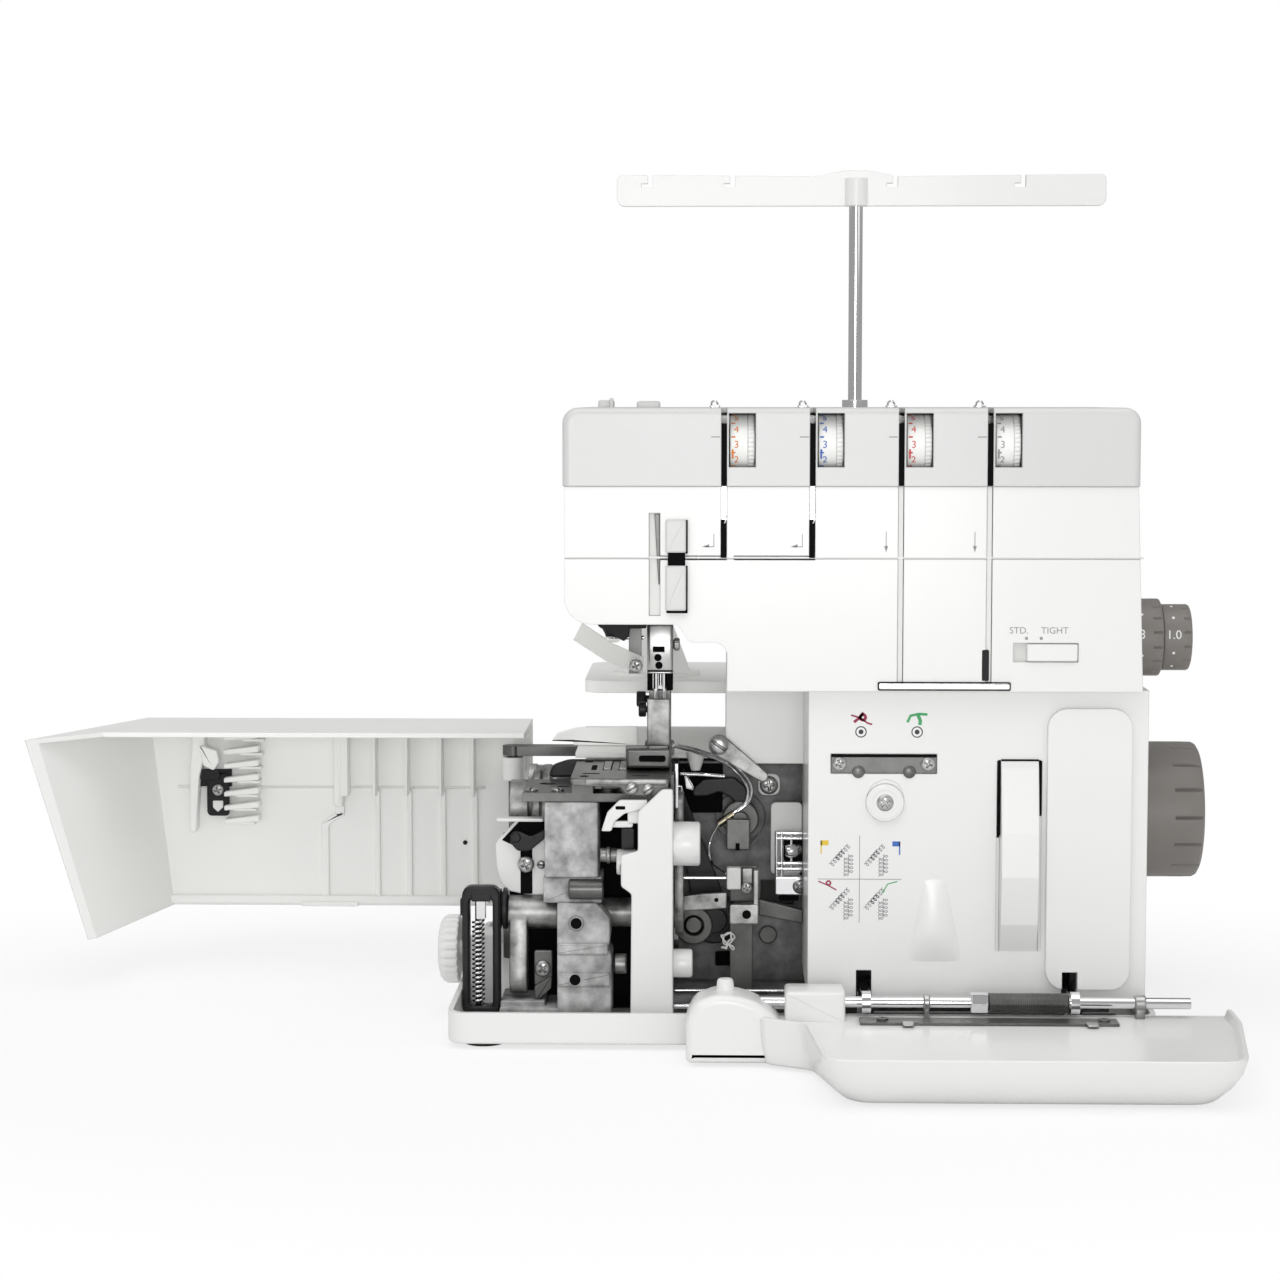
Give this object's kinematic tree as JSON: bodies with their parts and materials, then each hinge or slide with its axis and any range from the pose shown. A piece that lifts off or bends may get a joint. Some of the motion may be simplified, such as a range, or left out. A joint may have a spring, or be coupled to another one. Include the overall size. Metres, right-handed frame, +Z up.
{
  "type": "serger overlock machine",
  "caption": "Household serger overlock machine with its side and front covers open, tension dials in a grey top band, handwheel, thread pole and guide bar.",
  "frame": {"origin": "on the table, under the middle of the arm and the front edge of the tray and arm", "axes": "+X to the handwheel side, +Y to the back, +Z up"},
  "size_m": [0.581, 0.353, 0.411],
  "materials": {
    "white_plastic": "satin moulded",
    "grey_plastic": "satin moulded",
    "dial_grey": "moulded",
    "dial_white": "moulded",
    "dark_casting": "dark painted casting",
    "light_casting": "as cast",
    "steel": "machined",
    "chrome": "plated",
    "black_steel": "blackened",
    "black_plastic": "moulded",
    "clear_plastic": "clear moulded",
    "rubber": "moulded",
    "bronze": "sintered bush"
  },
  "bodies": {
    "chassis": {"base_tray": "white_plastic", "rubber_feet": "rubber", "cast_frame": "dark_casting", "arm_casting": "dark_casting", "shaft_bushes": "bronze", "drive_belt": "rubber", "drive_motor": "dark_casting", "arm_shell": "white_plastic", "top_cover": "grey_plastic", "rear_covers": "white_plastic", "arm_thread_guides": "chrome", "tension_units": "steel", "lower_front_panel": "white_plastic", "bed_and_column_cover": "white_plastic", "needle_plate": "steel", "lower_knife_bracket": "steel", "knife_casting": "light_casting", "spring_frame": "black_steel", "frame_spring": "chrome", "front_partition": "white_plastic", "looper_thread_guides": "chrome", "head_brackets": "steel", "lamp_lens": "clear_plastic", "side_hinge": "steel", "front_hinge": "chrome", "spool_stand": "white_plastic", "spool_pins": "chrome", "cone_holders": "grey_plastic", "machine_socket": "black_plastic", "trim_screws": "steel"},
    "main_drive": {"main_shaft": "steel", "handwheel": "dial_grey"},
    "motor_rotor": {"motor_pulley": "steel"},
    "needle_rocker": {"needle_rock_shaft": "steel"},
    "tension_dial_body_1": {"tension_dial_1": "dial_white"},
    "tension_dial_body_2": {"tension_dial_2": "dial_white"},
    "tension_dial_body_3": {"tension_dial_3": "dial_white"},
    "tension_dial_body_4": {"tension_dial_4": "dial_white"},
    "slider": {"tension_slider": "white_plastic"},
    "feed_dial": {"differential_feed_dial": "dial_grey"},
    "length_dial": {"stitch_length_dial": "dial_grey"},
    "feed": {"feed_dog": "steel"},
    "knife": {"upper_knife": "steel"},
    "release_lever": {"knife_release_lever": "black_plastic"},
    "width_dial": {"cutting_width_dial": "white_plastic"},
    "lower_looper_arm": {"lower_looper": "steel"},
    "upper_looper_arm": {"upper_looper": "steel"},
    "needle_carrier": {"needle_bar": "chrome"},
    "presser": {"presser_foot": "steel"},
    "lifter": {"presser_lifter": "white_plastic"},
    "guard": {"eye_guard": "clear_plastic"},
    "side_door": {"side_cover": "white_plastic", "side_cover_latch": "black_plastic"},
    "hinge_slider": {"hinge_spring": "black_steel"},
    "front_door": {"front_cover": "white_plastic", "front_cover_liner": "white_plastic", "hinge_plate": "steel"},
    "pole": {"pole_rod": "chrome"},
    "guide_bar": {"thread_guide_bar": "white_plastic"},
    "switch": {"power_switch": "black_plastic"}
  },
  "joints": [
    {"name": "main_spin", "type": "hinge", "parent": "chassis", "child": "main_drive", "pos_m": [0, 0.14, 0.092], "axis": [1, 0, 0], "continuous": true},
    {"name": "motor_spin", "type": "hinge", "parent": "chassis", "child": "motor_rotor", "pos_m": [0, 0.178, 0.046], "axis": [1, 0, 0], "continuous": true},
    {"name": "needle_rock", "type": "hinge", "parent": "chassis", "child": "needle_rocker", "pos_m": [0, 0.112, 0.226], "axis": [1, 0, 0], "range_deg": [-8, 8]},
    {"name": "tension_turn_1", "type": "hinge", "parent": "chassis", "child": "tension_dial_body_1", "pos_m": [0, 0.0141, 0.2745], "axis": [1, 0, 0], "range_deg": [-100, 200]},
    {"name": "tension_turn_2", "type": "hinge", "parent": "chassis", "child": "tension_dial_body_2", "pos_m": [0, 0.0141, 0.2745], "axis": [1, 0, 0], "range_deg": [-100, 200]},
    {"name": "tension_turn_3", "type": "hinge", "parent": "chassis", "child": "tension_dial_body_3", "pos_m": [0, 0.0141, 0.2745], "axis": [1, 0, 0], "range_deg": [-100, 200]},
    {"name": "tension_turn_4", "type": "hinge", "parent": "chassis", "child": "tension_dial_body_4", "pos_m": [0, 0.0141, 0.2745], "axis": [1, 0, 0], "range_deg": [-100, 200]},
    {"name": "tension_slide", "type": "slide", "parent": "chassis", "child": "slider", "axis": [1, 0, 0], "range_m": [-0.0055, 0]},
    {"name": "feed_dial_turn", "type": "hinge", "parent": "chassis", "child": "feed_dial", "pos_m": [0, 0.11, 0.18], "axis": [1, 0, 0], "range_deg": [-60, 120]},
    {"name": "length_dial_turn", "type": "hinge", "parent": "chassis", "child": "length_dial", "pos_m": [0, 0.11, 0.18], "axis": [1, 0, 0], "range_deg": [-90, 150]},
    {"name": "feed_move", "type": "slide", "parent": "chassis", "child": "feed", "axis": [0, 1, 0], "range_m": [-0.002, 0.002]},
    {"name": "knife_swing", "type": "hinge", "parent": "chassis", "child": "knife", "pos_m": [0, 0.06, 0.053], "axis": [1, 0, 0], "range_deg": [-5, 5]},
    {"name": "release_lever_turn", "type": "hinge", "parent": "chassis", "child": "release_lever", "pos_m": [-0.154, 0, 0.089], "axis": [0, 1, 0], "range_deg": [0, 50]},
    {"name": "width_dial_turn", "type": "hinge", "parent": "chassis", "child": "width_dial", "pos_m": [0, 0.082, 0.031], "axis": [1, 0, 0], "range_deg": [-180, 180]},
    {"name": "lower_looper_swing", "type": "hinge", "parent": "chassis", "child": "lower_looper_arm", "pos_m": [-0.0607, 0, 0.045], "axis": [0, 1, 0], "range_deg": [-7, 7]},
    {"name": "upper_looper_swing", "type": "hinge", "parent": "chassis", "child": "upper_looper_arm", "pos_m": [-0.048, 0, 0.093], "axis": [0, 1, 0], "range_deg": [-7, 7]},
    {"name": "needle_slide", "type": "slide", "parent": "chassis", "child": "needle_carrier", "axis": [0, 0, 1], "range_m": [-0.028, 0]},
    {"name": "presser_slide", "type": "slide", "parent": "chassis", "child": "presser", "axis": [0, 0, 1], "range_m": [0, 0.006]},
    {"name": "lifter_swing", "type": "hinge", "parent": "chassis", "child": "lifter", "pos_m": [0, 0.112, 0.206], "axis": [1, 0, 0], "range_deg": [0, 25.2]},
    {"name": "guard_swing", "type": "hinge", "parent": "chassis", "child": "guard", "pos_m": [-0.0975, 0, 0.17], "axis": [0, 1, 0], "range_deg": [-40, 0]},
    {"name": "side_cover_swing", "type": "hinge", "parent": "chassis", "child": "side_door", "pos_m": [-0.165, 0.197, 0], "axis": [0, 0, 1], "range_deg": [0, 90]},
    {"name": "front_cover_shift", "type": "slide", "parent": "chassis", "child": "hinge_slider", "axis": [1, 0, 0], "range_m": [-0.02, 0]},
    {"name": "front_cover_fold", "type": "hinge", "parent": "hinge_slider", "child": "front_door", "pos_m": [0, -0.014, 0.026], "axis": [1, 0, 0], "range_deg": [-90, 0]},
    {"name": "pole_slide", "type": "slide", "parent": "chassis", "child": "pole", "axis": [0, 0, 1], "range_m": [-0.095, 0]},
    {"name": "guide_bar_turn", "type": "hinge", "parent": "pole", "child": "guide_bar", "pos_m": [0.011, 0.2, 0], "axis": [0, 0, 1], "range_deg": [-90, 90]},
    {"name": "switch_rock", "type": "hinge", "parent": "chassis", "child": "switch", "pos_m": [0.1335, 0, 0.061], "axis": [0, 1, 0], "range_deg": [-14, 0]}
  ],
  "couplings": [
    {"joint": "motor_spin", "follows": "main_spin", "ratio": 3},
    {"joint": "lifter_swing", "follows": "presser_slide", "rad_per_m": 72.722}
  ]
}
